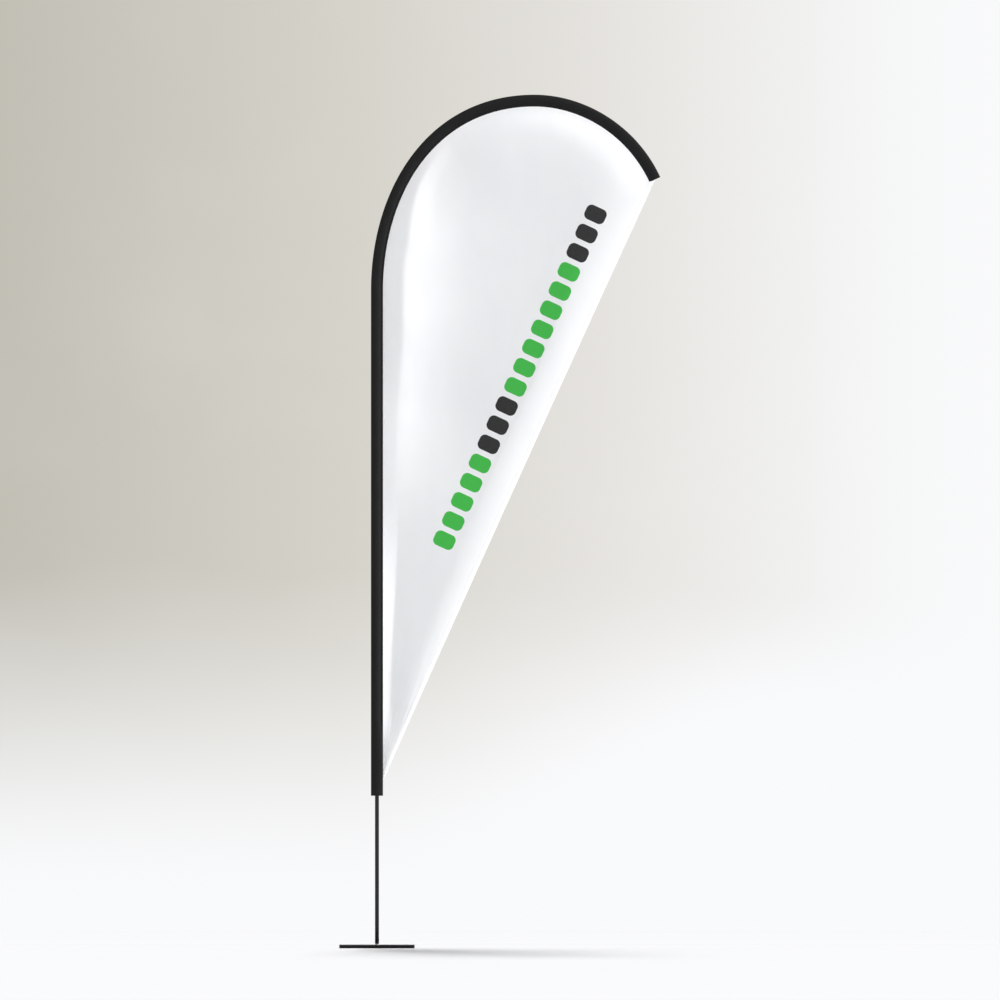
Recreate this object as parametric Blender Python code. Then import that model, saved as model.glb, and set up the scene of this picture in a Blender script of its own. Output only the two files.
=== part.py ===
"""Teardrop flag on a flat base plate.

A steel plate on a rubber mat carries a fixed spindle. A nylon bearing sleeve turns on the spindle,
and the hollow pole drops over it, so the flag turns with the wind and the pole lifts off.
The pole is four sections that plug into each other and bend inside the flag's black sleeve.
A collar on the pole and an elastic loop in the sleeve's mouth keep the flag pulled tight.

Metres, +Z up, +X towards the flag's free corner. The origin is on the pole's axis, on the floor.
"""

import math

import bmesh
import bpy
from mathutils import Matrix, Vector

MM = 0.001
GAP = 0.3 * MM  # left between solids that touch

# Base
PLATE_SIDE = 300 * MM
PLATE_THICKNESS = 10 * MM
PLATE_CORNER = 10 * MM
MAT_THICKNESS = 1.2 * MM
MAT_INSET = 2 * MM
PLATE_BOTTOM = MAT_THICKNESS + GAP
PLATE_TOP = PLATE_BOTTOM + PLATE_THICKNESS

# Spindle and bearing, all hidden in the pole but for a stack as wide as the pole
POLE_DIAMETER = 16 * MM
POLE_BORE = 13.5 * MM
SPINDLE_DIAMETER = 9 * MM
SPINDLE_TOP = 190 * MM
SHOULDER_HEIGHT = 3 * MM
WASHER_HEIGHT = 1 * MM
FLANGE_HEIGHT = 3 * MM
BEARING_DIAMETER = 13.1 * MM
BEARING_BORE = 9.2 * MM
BEARING_TOP = SPINDLE_TOP - 0.6 * MM
O_RING_SECTION = 1 * MM
O_RING_HEIGHTS = (50 * MM, 160 * MM)
SHOULDER_BOTTOM = PLATE_TOP + GAP
WASHER_BOTTOM = SHOULDER_BOTTOM + SHOULDER_HEIGHT + GAP
FLANGE_BOTTOM = WASHER_BOTTOM + WASHER_HEIGHT + GAP
POLE_BOTTOM = FLANGE_BOTTOM + FLANGE_HEIGHT + GAP
BASE_THREAD = 6 * MM
CAP_THREAD = 5 * MM

# The pole's line: straight up, then one bend over an apex and down to the tip
BEND_START = Vector((0, 0, 2.620))
APEX = Vector((0.627, 0, 3.3745))
TIP = Vector((1.107, 0, 3.060))
TIP_SLOPE = math.radians(65)  # below the horizontal
RISE_HANDLES = (0.385, 0.415)
FALL_HANDLES = (0.184, 0.226)
RISE_SEGMENTS = 22
FALL_SEGMENTS = 15

# Pole sections as (outer diameter, bore, start, end), measured along the line from the floor
SECTIONS = {
    "pole_section_1": (POLE_DIAMETER, POLE_BORE, POLE_BOTTOM, 1.150),
    "pole_section_2": (13.0 * MM, 10.2 * MM, 1.040, 2.200),
    "pole_section_3": (9.6 * MM, 6.7 * MM, 2.090, 3.220),
}
TIP_ROD_DIAMETERS = (6.0 * MM, 4.4 * MM)
TIP_ROD_START = 3.120
FERRULE_LENGTH = 34 * MM
FERRULE_WALL = 0.9 * MM
TIP_CAP_DIAMETER = 8 * MM
TIP_CAP_LENGTH = 26 * MM

# Sleeve, as a flattened tube
SLEEVE_WIDTH = 48 * MM
SLEEVE_WALL = 1 * MM
SLEEVE_MOUTH = 0.606
SLEEVE_END_WALL = 2 * MM
# Half its depth along the line: wide over the tension collar, slimmer as the pole thins
SLEEVE_HALF_DEPTHS = ((0.606, 13.0), (0.70, 12.6), (0.82, 11.0), (1.25, 11.0), (2.25, 9.5), (3.3, 8.0), (4.4, 7.0))
POCKET_DIAMETERS = (11 * MM, 8.8 * MM)
POCKET_LENGTH = 38 * MM

# Flag panel and the hem on its free edge
PANEL_THICKNESS = 1 * MM
HEM_WIDTH = 16 * MM
HEM_THICKNESS = 2 * MM
PANEL_CORNER_HEIGHT = 0.669
TRAILING_BOW = 4 * MM  # how far the free edge curves in
# The panel's waves across its fan, from the sleeve to the free edge, as heights of a sine series at full size
BILLOW = (-2.9 * MM, -4.5 * MM, 7.6 * MM, -0.2 * MM, 3.5 * MM)
PANEL_ROWS = 14
HEM_ROWS = 16

# Tension collar and loop inside the sleeve's mouth
COLLAR_BOTTOM = 0.618
COLLAR_HEIGHT = 16 * MM
COLLAR_DIAMETER = 23 * MM
LOOP_X = 14.5 * MM
LOOP_DIAMETER = 3.6 * MM
LOOP_TOP = 0.722
NECK_HALF_WIDTH = 2.5 * MM
ANCHOR_HEIGHT = 28 * MM

ROUND = 32  # sides of a turned piece


# ---- materials ----------------------------------------------------------------------------

def finish(name, colour, roughness, metallic=0.0):
    material = bpy.data.materials.new(name)
    material.use_nodes = True
    shader = material.node_tree.nodes["Principled BSDF"]
    shader.inputs["Base Color"].default_value = (*colour, 1)
    shader.inputs["Roughness"].default_value = roughness
    shader.inputs["Metallic"].default_value = metallic
    return material


def make_finishes():
    return {
        "powder_coat": finish("powder_coat", (0.020, 0.020, 0.020), 0.5, 0.2),
        "mat_rubber": finish("mat_rubber", (0.015, 0.015, 0.015), 0.9),
        "steel": finish("steel", (0.55, 0.55, 0.56), 0.35, 1.0),
        "nylon": finish("nylon", (0.03, 0.03, 0.032), 0.55),
        "pole_black": finish("pole_black", (0.022, 0.022, 0.023), 0.3),
        "sleeve_cloth": finish("sleeve_cloth", (0.021, 0.021, 0.021), 0.85),
        "panel_cloth": finish("panel_cloth", (0.85, 0.86, 0.88), 0.8),
        "elastic": finish("elastic", (0.025, 0.025, 0.028), 0.8),
    }


# ---- mesh helpers -------------------------------------------------------------------------

def finish_object(name, bm, material, at=(0, 0, 0), smooth=True):
    """Turns a bmesh into a named object."""
    bmesh.ops.recalc_face_normals(bm, faces=bm.faces)
    mesh = bpy.data.meshes.new(name)
    bm.to_mesh(mesh)
    bm.free()
    if smooth:
        mesh.shade_smooth()
        mesh.set_sharp_from_angle(angle=math.radians(35))
    obj = bpy.data.objects.new(name, mesh)
    obj.location = at
    bpy.context.scene.collection.objects.link(obj)
    if material:
        obj.data.materials.append(material)
    return obj


def turned(name, profile, material, at=(0, 0, 0), sides=ROUND, ring=False):
    """Spins a profile of (radius, height) points round Z. A ring's profile closes on itself."""
    bm = bmesh.new()
    points = [bm.verts.new((radius, 0, height)) for radius, height in profile]
    edges = [bm.edges.new(pair) for pair in zip(points, points[1:])]
    if ring:
        edges.append(bm.edges.new((points[-1], points[0])))
    bmesh.ops.spin(bm, geom=points + edges, cent=(0, 0, 0), axis=(0, 0, 1), dvec=(0, 0, 0),
                   angle=2 * math.pi, steps=sides, use_merge=True)
    bmesh.ops.remove_doubles(bm, verts=bm.verts, dist=1e-6)
    return finish_object(name, bm, material, at)


def prism(name, outline, low, high, material=None, at=(0, 0, 0)):
    """Extrudes an outline of (x, y) points from low to high along Z."""
    bm = bmesh.new()
    face = bm.faces.new([bm.verts.new((x, y, low)) for x, y in outline])
    made = bmesh.ops.extrude_face_region(bm, geom=[face])["geom"]
    bmesh.ops.translate(bm, verts=[v for v in made if isinstance(v, bmesh.types.BMVert)], vec=(0, 0, high - low))
    return finish_object(name, bm, material, at, smooth=False)


def polygon(sides, radius, turn=0.0):
    return [(radius * math.cos(turn + 2 * math.pi * i / sides),
             radius * math.sin(turn + 2 * math.pi * i / sides)) for i in range(sides)]


def rounded_square(side, corner, steps=6):
    points = []
    for quarter, (sx, sy) in enumerate(((1, 1), (-1, 1), (-1, -1), (1, -1))):
        centre = Vector((sx, sy)) * (side / 2 - corner)
        for i in range(steps + 1):
            angle = math.pi / 2 * (quarter + i / steps)
            points.append((centre.x + corner * math.cos(angle), centre.y + corner * math.sin(angle)))
    return points


def helper(obj):
    """Keeps a cutter or a join piece out of the model."""
    obj.hide_render = True
    obj.display_type = "WIRE"
    return obj


def boolean(obj, other, operation="DIFFERENCE"):
    modifier = obj.modifiers.new(other.name, "BOOLEAN")
    modifier.object = helper(other)
    modifier.operation = operation


def skin(bm, rings, wrap=True):
    """Faces between rows of points of equal length."""
    for first, second in zip(rings, rings[1:]):
        for i in range(len(first) if wrap else len(first) - 1):
            j = (i + 1) % len(first)
            bm.faces.new((first[i], first[j], second[j], second[i]))


# ---- the pole's line ----------------------------------------------------------------------

def bezier(start, start_handle, end_handle, end, t):
    u = 1 - t
    return u**3 * start + 3 * u * u * t * start_handle + 3 * u * t * t * end_handle + t**3 * end


def make_line():
    """Points of the pole's line and how far each is along it."""
    tip_way = Vector((math.cos(TIP_SLOPE), 0, -math.sin(TIP_SLOPE)))
    rise = (BEND_START, BEND_START + Vector((0, 0, RISE_HANDLES[0])), APEX - Vector((RISE_HANDLES[1], 0, 0)), APEX)
    fall = (APEX, APEX + Vector((FALL_HANDLES[0], 0, 0)), TIP - tip_way * FALL_HANDLES[1], TIP)
    points = [Vector((0, 0, 0)), BEND_START.copy()]
    points += [bezier(*rise, i / RISE_SEGMENTS) for i in range(1, RISE_SEGMENTS + 1)]
    points += [bezier(*fall, i / FALL_SEGMENTS) for i in range(1, FALL_SEGMENTS + 1)]
    along = [0.0]
    for a, b in zip(points, points[1:]):
        along.append(along[-1] + (b - a).length)
    return points, along


LINE, ALONG = make_line()
LINE_END = ALONG[-1]


def place_on_line(s):
    """The point at distance s, the way the line goes there, and its side towards the flag, mitred at a corner."""
    last = len(LINE) - 1
    k = max(i for i in range(last) if ALONG[i] <= s + 1e-9) if s < LINE_END else last - 1
    way = (LINE[k + 1] - LINE[k]).normalized()
    point = LINE[k] + way * (s - ALONG[k])
    side = Vector((way.z, 0, -way.x))
    if abs(s - ALONG[k]) < 1e-9 and 0 < k:
        before = (LINE[k] - LINE[k - 1]).normalized()
        both = (side + Vector((before.z, 0, -before.x))).normalized()
        return point, way, both / both.dot(side)
    return point, way, side


def stations(start, end, extra=()):
    """Distances from start to end, with every corner of the line between them."""
    inside = [s for s in (*ALONG, *extra) if start + 1e-6 < s < end - 1e-6]
    return sorted({start, end, *inside})


def ring_on_line(bm, s, half_width, half_depth, sides):
    point, _, side = place_on_line(s)
    ring = []
    for i in range(sides):
        angle = 2 * math.pi * i / sides
        offset = side * half_width * math.cos(angle) + Vector((0, half_depth * math.sin(angle), 0))
        ring.append(bm.verts.new(point + offset))
    return ring


def tube_on_line(name, outer, bore, start, end, material, sides=16):
    bm = bmesh.new()
    cuts = stations(start, end)
    outside = [ring_on_line(bm, s, outer / 2, outer / 2, sides) for s in cuts]
    inside = [ring_on_line(bm, s, bore / 2, bore / 2, sides) for s in reversed(cuts)]
    skin(bm, [*outside, *inside, outside[0]])
    return finish_object(name, bm, material)


def rod_on_line(name, diameters, start, end, material, sides=12):
    bm = bmesh.new()
    rings = []
    for s in stations(start, end):
        share = (s - start) / (end - start)
        radius = (diameters[0] + (diameters[1] - diameters[0]) * share) / 2
        rings.append(ring_on_line(bm, s, radius, radius, sides))
    skin(bm, rings)
    bm.faces.new(rings[0])
    bm.faces.new(rings[-1])
    return finish_object(name, bm, material)


def turn_to_line(obj, s):
    """Stands an object made along Z on the line, at distance s."""
    point, way, side = place_on_line(s)
    axes = Matrix((side, (0, 1, 0), way)).transposed()
    obj.matrix_world = Matrix.Translation(point) @ axes.to_4x4()
    return obj


# ---- base and spindle ---------------------------------------------------------------------

def make_base(finishes):
    prism("anti_slip_mat", rounded_square(PLATE_SIDE - 2 * MAT_INSET, PLATE_CORNER),
          0, MAT_THICKNESS, finishes["mat_rubber"])

    plate = prism("base_plate", rounded_square(PLATE_SIDE, PLATE_CORNER), PLATE_BOTTOM, PLATE_TOP,
                  finishes["powder_coat"])
    edge = plate.modifiers.new("edge", "BEVEL")
    edge.width = 1 * MM
    edge.segments = 2
    edge.limit_method = "ANGLE"
    edge.angle_limit = math.radians(60)
    hole = 0.3 * MM + BASE_THREAD / 2
    head = 6.5 * MM
    cutter = turned("screw_seat", [(0, -1 * MM), (head, -1 * MM), (head, PLATE_BOTTOM + 0.6 * MM),
                                   (hole, PLATE_BOTTOM + 0.6 * MM + head - hole),
                                   (hole, PLATE_TOP + 1 * MM), (0, PLATE_TOP + 1 * MM)], None)
    boolean(plate, cutter)

    make_base_screw(finishes["steel"])
    bore = BASE_THREAD / 2 + GAP
    cap_bore = CAP_THREAD / 2 + GAP
    root = SHOULDER_BOTTOM + SHOULDER_HEIGHT
    radius = SPINDLE_DIAMETER / 2
    turned("spindle_pin", [
        (0, SPINDLE_TOP - 16 * MM), (cap_bore, SPINDLE_TOP - 14 * MM), (cap_bore, SPINDLE_TOP),
        (radius - 0.5 * MM, SPINDLE_TOP), (radius, SPINDLE_TOP - 0.5 * MM), (radius, root),
        (POLE_DIAMETER / 2, root), (POLE_DIAMETER / 2, SHOULDER_BOTTOM), (bore, SHOULDER_BOTTOM),
        (bore, SHOULDER_BOTTOM + 24 * MM), (0, SHOULDER_BOTTOM + 26 * MM)], finishes["steel"])
    turned("thrust_washer", [
        (radius + GAP, WASHER_BOTTOM), (POLE_DIAMETER / 2, WASHER_BOTTOM),
        (POLE_DIAMETER / 2, WASHER_BOTTOM + WASHER_HEIGHT), (radius + GAP, WASHER_BOTTOM + WASHER_HEIGHT)],
        finishes["nylon"], ring=True)
    make_spindle_cap(finishes["steel"])


def make_base_screw(steel):
    """Countersunk screw from below the plate into the spindle, with a hexagon socket."""
    shank, head, low = BASE_THREAD / 2, 6 * MM, PLATE_BOTTOM + 0.4 * MM
    screw = turned("spindle_screw", [(0, low), (head, low), (head, low + 0.4 * MM),
                                     (shank, low + 0.4 * MM + head - shank),
                                     (shank, low + 32 * MM), (0, low + 32 * MM)], steel)
    boolean(screw, prism("socket_cut", polygon(6, 2.3 * MM), low - 1 * MM, low + 2 * MM))


def make_spindle_cap(steel):
    """Washer and button screw that keep the bearing sleeve on the spindle."""
    washer_low = SPINDLE_TOP + GAP
    washer_high = washer_low + 1.2 * MM
    hole, rim = CAP_THREAD / 2 + GAP, 6.4 * MM
    turned("cap_washer", [(hole, washer_low), (rim, washer_low), (rim, washer_high), (hole, washer_high)],
           steel, ring=True)
    low, head, height = washer_high + GAP, 4.75 * MM, 2.75 * MM
    dome = [(head * math.cos(a), low + 0.6 * MM + (height - 0.6 * MM) * math.sin(a))
            for a in [math.radians(d) for d in (0, 18, 36, 54)]]
    screw = turned("cap_screw", [(0, low - 10 * MM), (CAP_THREAD / 2, low - 10 * MM), (CAP_THREAD / 2, low),
                                 (head, low), *dome, (0, dome[-1][1])], steel)
    boolean(screw, prism("cap_socket_cut", polygon(6, 1.75 * MM), low + 1.2 * MM, low + 5 * MM))


def make_bearing(finishes):
    """Flanged nylon sleeve that turns on the spindle, with two O-rings that grip the pole's bore."""
    outer, bore, rim = BEARING_DIAMETER / 2, BEARING_BORE / 2, POLE_DIAMETER / 2
    groove, half = outer - 1.1 * MM, 0.8 * MM
    top = FLANGE_BOTTOM + FLANGE_HEIGHT
    profile = [(bore, FLANGE_BOTTOM), (rim, FLANGE_BOTTOM), (rim, top), (outer, top)]
    for height in O_RING_HEIGHTS:
        profile += [(outer, height - half), (groove, height - half), (groove, height + half), (outer, height + half)]
    profile += [(outer, BEARING_TOP - 1 * MM), (outer - 1 * MM, BEARING_TOP), (bore, BEARING_TOP)]
    turned("bearing_sleeve", profile, finishes["nylon"], ring=True)
    section = O_RING_SECTION / 2
    for name, height in zip(("o_ring_lower", "o_ring_upper"), O_RING_HEIGHTS):
        centre = outer - section + 0.03 * MM
        turned(name, [(centre + x, height + y) for x, y in polygon(6, section)],
               finishes["mat_rubber"], ring=True)


# ---- pole ---------------------------------------------------------------------------------

def make_pole(finishes):
    for name, (outer, bore, start, end) in SECTIONS.items():
        tube_on_line(name, outer, bore, start, end, finishes["pole_black"],
                     sides=ROUND if name == "pole_section_1" else 16)
    for number, (outer, _, _, end) in enumerate(SECTIONS.values(), 1):
        inside = outer + 2 * GAP
        tube_on_line(f"ferrule_{number}", inside + 2 * FERRULE_WALL, inside, end - FERRULE_LENGTH, end,
                     finishes["steel"], sides=24 if number == 1 else 16)

    pocket_end = LINE_END - SLEEVE_END_WALL - GAP
    cap_end = pocket_end - 1.8 * MM
    rod_end = cap_end - 4 * MM
    rod_on_line("pole_section_4", TIP_ROD_DIAMETERS, TIP_ROD_START, rod_end, finishes["pole_black"])

    radius, socket = TIP_CAP_DIAMETER / 2, TIP_ROD_DIAMETERS[1] / 2 + 0.35 * MM
    depth = TIP_CAP_LENGTH - 3.7 * MM
    dome = [(radius * math.cos(a), TIP_CAP_LENGTH - radius + radius * math.sin(a))
            for a in [math.radians(d) for d in (0, 22, 45, 67, 90)]]
    cap = turned("pole_tip_cap", [(0, depth), (socket, depth), (socket, 0), (radius - 0.5 * MM, 0),
                                  (radius, 0.5 * MM), *[(max(r, 0), z) for r, z in dome]],
                 finishes["nylon"], sides=16)
    turn_to_line(cap, cap_end - TIP_CAP_LENGTH)

    outer, inner = (d / 2 for d in POCKET_DIAMETERS)
    wall = 1.5 * MM
    pocket = turned("tip_pocket", [(0, POCKET_LENGTH - wall), (inner, POCKET_LENGTH - wall), (inner, 0), (outer, 0),
                                   (outer, POCKET_LENGTH), (0, POCKET_LENGTH)],
                    finishes["sleeve_cloth"], sides=16)
    turn_to_line(pocket, pocket_end - POCKET_LENGTH)


# ---- tension collar and loop ----------------------------------------------------------------

def make_tension_gear(finishes):
    inner, outer = POLE_DIAMETER / 2 + GAP, COLLAR_DIAMETER / 2
    top = COLLAR_BOTTOM + COLLAR_HEIGHT
    edge = 1 * MM
    collar = turned("tension_collar", [
        (inner, COLLAR_BOTTOM), (outer - edge, COLLAR_BOTTOM), (outer, COLLAR_BOTTOM + edge), (outer, top - edge),
        (outer - edge, top), (inner, top)], finishes["nylon"], ring=True)
    neck_low, neck_high = COLLAR_BOTTOM + 4 * MM, top - 4 * MM
    lip_x = LOOP_X + LOOP_DIAMETER / 2 + 2 * GAP
    neck = prism("collar_neck", [(inner + 1 * MM, -NECK_HALF_WIDTH), (lip_x + 1 * MM, -NECK_HALF_WIDTH),
                                 (lip_x + 1 * MM, NECK_HALF_WIDTH), (inner + 1 * MM, NECK_HALF_WIDTH)],
                 neck_low, neck_high)
    lip = prism("collar_lip", [(lip_x, -4.5 * MM), (lip_x + 2.6 * MM, -4 * MM),
                               (lip_x + 2.6 * MM, 4 * MM), (lip_x, 4.5 * MM)], COLLAR_BOTTOM + 1 * MM, top - 1 * MM)
    boolean(collar, neck, "UNION")
    boolean(collar, lip, "UNION")
    screw_height = COLLAR_BOTTOM + COLLAR_HEIGHT / 2
    hole = turned("collar_screw_hole", [(0, 0), (2.3 * MM, 0), (2.3 * MM, 12 * MM), (0, 12 * MM)], None, sides=16)
    hole.matrix_world = Matrix.Translation((-2 * MM, 0, screw_height)) @ Matrix.Rotation(-math.pi / 2, 4, "Y")
    boolean(collar, hole)

    screw = turned("collar_screw", [(0, 0), (1.5 * MM, 0), (2 * MM, 0.5 * MM), (2 * MM, 3 * MM), (0, 3 * MM)],
                   finishes["steel"], sides=16)
    screw.matrix_world = Matrix.Translation((-inner, 0, screw_height)) @ Matrix.Rotation(-math.pi / 2, 4, "Y")
    socket = prism("collar_socket_cut", polygon(6, 1.15 * MM), 1.2 * MM, 5 * MM)
    socket.matrix_world = screw.matrix_world
    boolean(screw, socket)

    make_loop(neck_low, finishes["elastic"])
    wide, narrow = 6.6 * MM, 3.4 * MM
    prism("loop_anchor", [(12.3 * MM, -wide), (16.7 * MM, -wide), (21.4 * MM, -narrow),
                          (21.4 * MM, narrow), (16.7 * MM, wide), (12.3 * MM, wide)],
          LOOP_TOP + GAP, LOOP_TOP + GAP + ANCHOR_HEIGHT, finishes["sleeve_cloth"])


def make_loop(neck_low, material):
    """Elastic cord, down from the anchor, round under the collar's neck and up again."""
    reach = NECK_HALF_WIDTH + LOOP_DIAMETER / 2 + GAP
    bend = [(reach * math.cos(a), neck_low - reach * math.sin(a))
            for a in [math.pi * i / 10 for i in range(11)]]
    points = [(reach, LOOP_TOP), *bend, (-reach, LOOP_TOP)]
    curve = bpy.data.curves.new("tension_loop", "CURVE")
    curve.dimensions = "3D"
    curve.bevel_depth = LOOP_DIAMETER / 2
    curve.bevel_resolution = 2
    curve.use_fill_caps = True
    spline = curve.splines.new("POLY")
    spline.points.add(len(points) - 1)
    for target, (y, z) in zip(spline.points, points):
        target.co = (LOOP_X, y, z, 1)
    loop = bpy.data.objects.new("tension_loop", curve)
    loop.data.materials.append(material)
    bpy.context.scene.collection.objects.link(loop)


# ---- sleeve, panel and hem ------------------------------------------------------------------

def half_depth(s):
    """Half the sleeve's depth at distance s along the line."""
    for (s0, d0), (s1, d1) in zip(SLEEVE_HALF_DEPTHS, SLEEVE_HALF_DEPTHS[1:]):
        if s <= s1:
            return (d0 + (d1 - d0) * (s - s0) / (s1 - s0)) * MM
    return SLEEVE_HALF_DEPTHS[-1][1] * MM


def make_sleeve(cloth):
    bm = bmesh.new()
    bends = [s for s, _ in SLEEVE_HALF_DEPTHS[1:-1]]
    inner_end = LINE_END - SLEEVE_END_WALL
    sides = 20
    outside = [ring_on_line(bm, s, SLEEVE_WIDTH / 2, half_depth(s), sides)
               for s in stations(SLEEVE_MOUTH, LINE_END, bends)]
    inside = [ring_on_line(bm, s, SLEEVE_WIDTH / 2 - SLEEVE_WALL, half_depth(s) - SLEEVE_WALL, sides)
              for s in stations(SLEEVE_MOUTH, inner_end, bends)]
    skin(bm, outside)
    skin(bm, [outside[0], *inside])
    bm.faces.new(outside[-1])
    bm.faces.new(inside[-1])
    finish_object("pole_sleeve", bm, cloth)


def beside_sleeve(s, clear=GAP):
    """A point of the sleeve's edge on the flag's side, just clear of it."""
    point, _, side = place_on_line(s)
    return point + side * (SLEEVE_WIDTH / 2 + clear)


def trailing_edge(t, inset=0.0):
    """Points of the flag's free edge, t from 0 at the bottom corner to 1 at the tip, inset into the panel."""
    bottom = Vector((SLEEVE_WIDTH / 2 + GAP, 0, PANEL_CORNER_HEIGHT))
    point, way, _ = place_on_line(LINE_END)
    top = point + way * GAP
    along = (top - bottom).normalized()
    inward = Vector((-along.z, 0, along.x))
    low = bottom + Vector((0, 0, inset / along.x))
    # the sleeve's cut end runs from the tip back to the sleeve's edge on the flag's side
    end_way = (beside_sleeve(LINE_END, 0) - point).normalized()
    high = top + end_way * inset / end_way.dot(inward)
    return low.lerp(high, t) + inward * TRAILING_BOW * 4 * t * (1 - t)


def billow(across, up):
    """How far the panel stands towards -Y: waves across the fan, growing from its corner and flat at all its edges."""
    wave = sum(height * math.sin(math.pi * (i + 1) * across) for i, height in enumerate(BILLOW))
    return wave * 1.6 * up**0.6 * (1 - up**4)


def make_panel(cloth):
    """Fan from the bottom corner: each column runs up to a corner of the sleeve's bend."""
    inset = HEM_WIDTH + GAP
    corner = trailing_edge(0, inset)
    bend_stations = [s for s in ALONG if s >= ALONG[1]]
    ends = [beside_sleeve(s) for s in bend_stations[:-1]]
    ends.append(trailing_edge(1, inset))
    full_angle = math.atan2(ends[-1].x - corner.x, ends[-1].z - corner.z)
    bm = bmesh.new()
    sheets = []
    for side in (-PANEL_THICKNESS / 2, PANEL_THICKNESS / 2):
        start = bm.verts.new(corner + Vector((0, side, 0)))
        columns = []
        for end in ends:
            angle = math.atan2(end.x - corner.x, end.z - corner.z) / full_angle
            column = []
            for row in range(1, PANEL_ROWS + 1):
                up = row / PANEL_ROWS
                flat = trailing_edge(up, inset) if end is ends[-1] else corner.lerp(end, up)
                lift = billow(angle, up)
                column.append(bm.verts.new(flat + Vector((0, side - lift, 0))))
            columns.append(column)
        for a, b in zip(columns, columns[1:]):
            bm.faces.new((start, a[0], b[0]))
        skin(bm, columns, wrap=False)
        sheets.append((start, columns))
    (front, front_columns), (back, back_columns) = sheets
    rim_front = [front, *front_columns[0], *[c[-1] for c in front_columns[1:]], *front_columns[-1][-2::-1]]
    rim_back = [back, *back_columns[0], *[c[-1] for c in back_columns[1:]], *back_columns[-1][-2::-1]]
    skin(bm, [rim_front, rim_back])
    finish_object("flag_panel", bm, cloth)


def make_hem(cloth):
    bm = bmesh.new()
    rings = []
    for row in range(HEM_ROWS + 1):
        t = row / HEM_ROWS
        inner, outer = trailing_edge(t, HEM_WIDTH), trailing_edge(t)
        half = Vector((0, HEM_THICKNESS / 2, 0))
        rings.append([bm.verts.new(p) for p in (inner - half, outer - half, outer + half, inner + half)])
    skin(bm, rings)
    bm.faces.new(rings[0])
    bm.faces.new(rings[-1])
    finish_object("trailing_hem", bm, cloth, smooth=False)


def main():
    for obj in list(bpy.data.objects):
        bpy.data.objects.remove(obj)
    finishes = make_finishes()
    make_base(finishes)
    make_bearing(finishes)
    make_pole(finishes)
    make_tension_gear(finishes)
    make_sleeve(finishes["sleeve_cloth"])
    make_panel(finishes["panel_cloth"])
    make_hem(finishes["panel_cloth"])


main()
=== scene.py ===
import math

import bpy
import numpy as np
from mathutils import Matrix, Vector, kdtree


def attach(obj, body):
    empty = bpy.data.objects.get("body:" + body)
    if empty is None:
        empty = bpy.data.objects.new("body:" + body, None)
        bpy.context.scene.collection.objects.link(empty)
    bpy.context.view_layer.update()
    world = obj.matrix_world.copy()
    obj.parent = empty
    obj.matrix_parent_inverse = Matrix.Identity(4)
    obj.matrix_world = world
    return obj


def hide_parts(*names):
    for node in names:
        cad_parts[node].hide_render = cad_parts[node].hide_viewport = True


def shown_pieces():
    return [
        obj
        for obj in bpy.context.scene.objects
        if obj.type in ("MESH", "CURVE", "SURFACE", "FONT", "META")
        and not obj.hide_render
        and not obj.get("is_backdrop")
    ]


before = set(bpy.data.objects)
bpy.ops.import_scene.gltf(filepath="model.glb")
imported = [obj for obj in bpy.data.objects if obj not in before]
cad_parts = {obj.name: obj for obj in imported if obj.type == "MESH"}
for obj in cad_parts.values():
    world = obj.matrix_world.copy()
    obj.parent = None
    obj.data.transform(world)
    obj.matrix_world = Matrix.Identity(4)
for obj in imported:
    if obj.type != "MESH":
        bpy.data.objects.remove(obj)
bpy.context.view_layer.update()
scene = bpy.context.scene
print("frame loaded")


# Camera: square on to the flag, in parallel, a hair above the floor
cameraView = {
    "middle": (0.490, 0.0, 1.784),
    "elevation": 0.6,  # degrees
    "distance": 38.0,
    "width": 3.983,
}


def makeCamera(view):
    camera = bpy.data.objects.new("camera", bpy.data.cameras.new("camera"))
    scene.collection.objects.link(camera)
    lift = math.radians(view["elevation"])
    back = Vector((0, -math.cos(lift), math.sin(lift)))
    camera.location = Vector(view["middle"]) + back * view["distance"]
    camera.rotation_euler = (-back).to_track_quat("-Z", "Y").to_euler()
    camera.data.type = "ORTHO"
    camera.data.ortho_scale = view["width"]
    camera.data.clip_start = 0.5
    camera.data.clip_end = 200
    scene.camera = camera


makeCamera(cameraView)


# Node helpers for the finishes

def finishNodes(name, spec):
    # the frame's own material of that name where there is one, so its slot keeps its name
    finish = bpy.data.materials.get(name) or bpy.data.materials.new(name)
    finish.use_nodes = True
    tree = finish.node_tree
    tree.nodes.clear()
    shader = tree.nodes.new("ShaderNodeBsdfPrincipled")
    out = tree.nodes.new("ShaderNodeOutputMaterial")
    tree.links.new(shader.outputs[0], out.inputs[0])
    shader.inputs["Base Color"].default_value = (*spec["colour"], 1)
    shader.inputs["Roughness"].default_value = spec["roughness"]
    shader.inputs["Metallic"].default_value = spec.get("metallic", 0.0)
    shader.inputs["Specular IOR Level"].default_value = spec["specular"]
    return finish, tree, shader


def wire(tree, value, socket):
    if isinstance(value, bpy.types.NodeSocket):
        tree.links.new(value, socket)
    elif value is not None:
        socket.default_value = value


def feed(tree, shader, colour=None, roughness=None, normal=None):
    for name, value in (("Base Color", colour), ("Roughness", roughness), ("Normal", normal)):
        wire(tree, value, shader.inputs[name])


def addNode(tree, kind, inputs=None, **settings):
    node = tree.nodes.new("ShaderNode" + kind)
    for name, value in settings.items():
        setattr(node, name, value)
    for name, value in (inputs or {}).items():
        wire(tree, value, node.inputs[name])
    return node


def calc(tree, operation, first, second=None, third=None, clamp=False):
    node = addNode(tree, "Math", operation=operation, use_clamp=clamp)
    for socket, value in zip(node.inputs, (first, second, third)):
        wire(tree, value, socket)
    return node.outputs[0]


def times(tree, first, second):
    return calc(tree, "MULTIPLY", first, second)


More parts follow.
